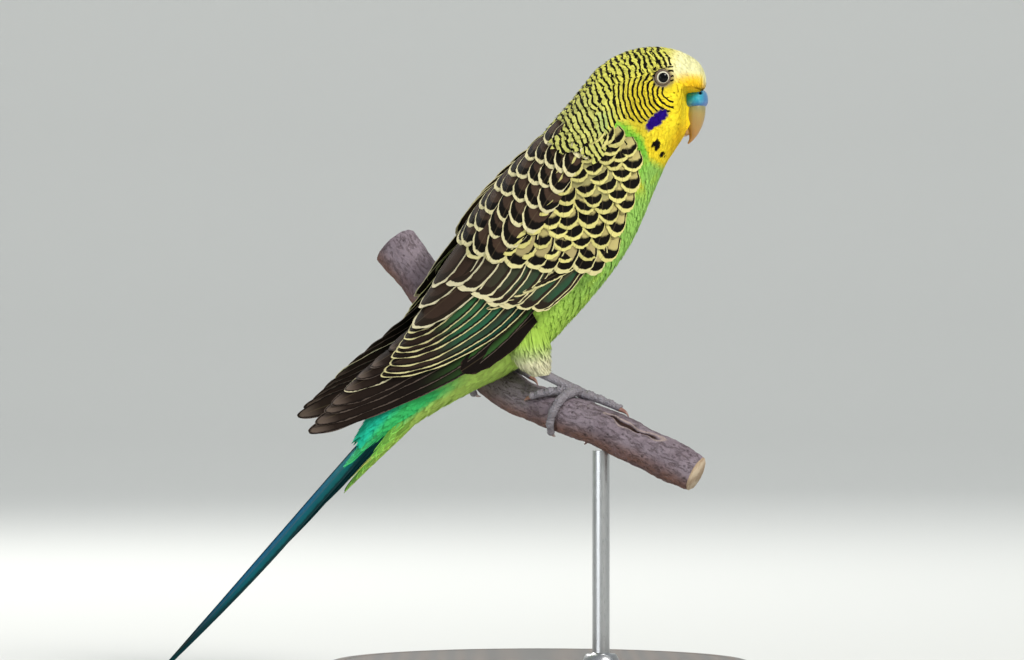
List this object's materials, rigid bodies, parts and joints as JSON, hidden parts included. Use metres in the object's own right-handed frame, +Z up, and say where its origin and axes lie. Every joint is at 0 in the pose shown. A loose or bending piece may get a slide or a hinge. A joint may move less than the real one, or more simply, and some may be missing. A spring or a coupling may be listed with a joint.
{
  "type": "budgerigar model",
  "caption": "A life-size still model of a green budgerigar with barred yellow head, folded wings and a long tail, gripping a cut length of branch on a rod and round base.",
  "frame": {"origin": "centre of the flat underside of the round base", "axes": "+X the way the bird looks, +Y to its left, +Z up, -Z out of the base's underside"},
  "size_m": [0.1384, 0.1, 0.1519],
  "materials": {
    "plumage_head": "soft feathers, golden yellow with fine black bars",
    "plumage_body": "soft feathers, bright green to lime yellow",
    "plumage_wing": "flat feathers, black-brown with pale yellow edges",
    "plumage_tail": "flat feathers, blue-green to deep blue",
    "plumage_thigh": "soft feathers, pale yellow-green",
    "eye": "dark pupil in a pale ring, wet gloss",
    "cere": "smooth waxy blue skin",
    "bill": "smooth horn, olive yellow",
    "foot": "scaly blue-grey skin",
    "claw": "smooth brown horn",
    "bark": "rough grey-brown bark",
    "stand_wood": "dark satin varnish",
    "stand_steel": "brushed"
  },
  "bodies": {
    "root": {"head": "plumage_head", "neck": "plumage_head", "torso": "plumage_body", "tail": "plumage_tail", "wing_right": "plumage_wing", "wing_left": "plumage_wing", "cere": "cere", "bill_upper": "bill", "bill_lower": "bill", "eye_right": "eye", "eye_left": "eye", "thigh_right": "plumage_thigh", "thigh_left": "plumage_thigh", "foot_right": "foot", "foot_left": "foot", "claw_right_1": "claw", "claw_right_2": "claw", "claw_right_3": "claw", "claw_right_4": "claw", "claw_left_1": "claw", "claw_left_2": "claw", "claw_left_3": "claw", "claw_left_4": "claw", "perch": "bark", "stand_rod": "stand_steel", "stand_base": "stand_wood"}
  },
  "joints": []
}
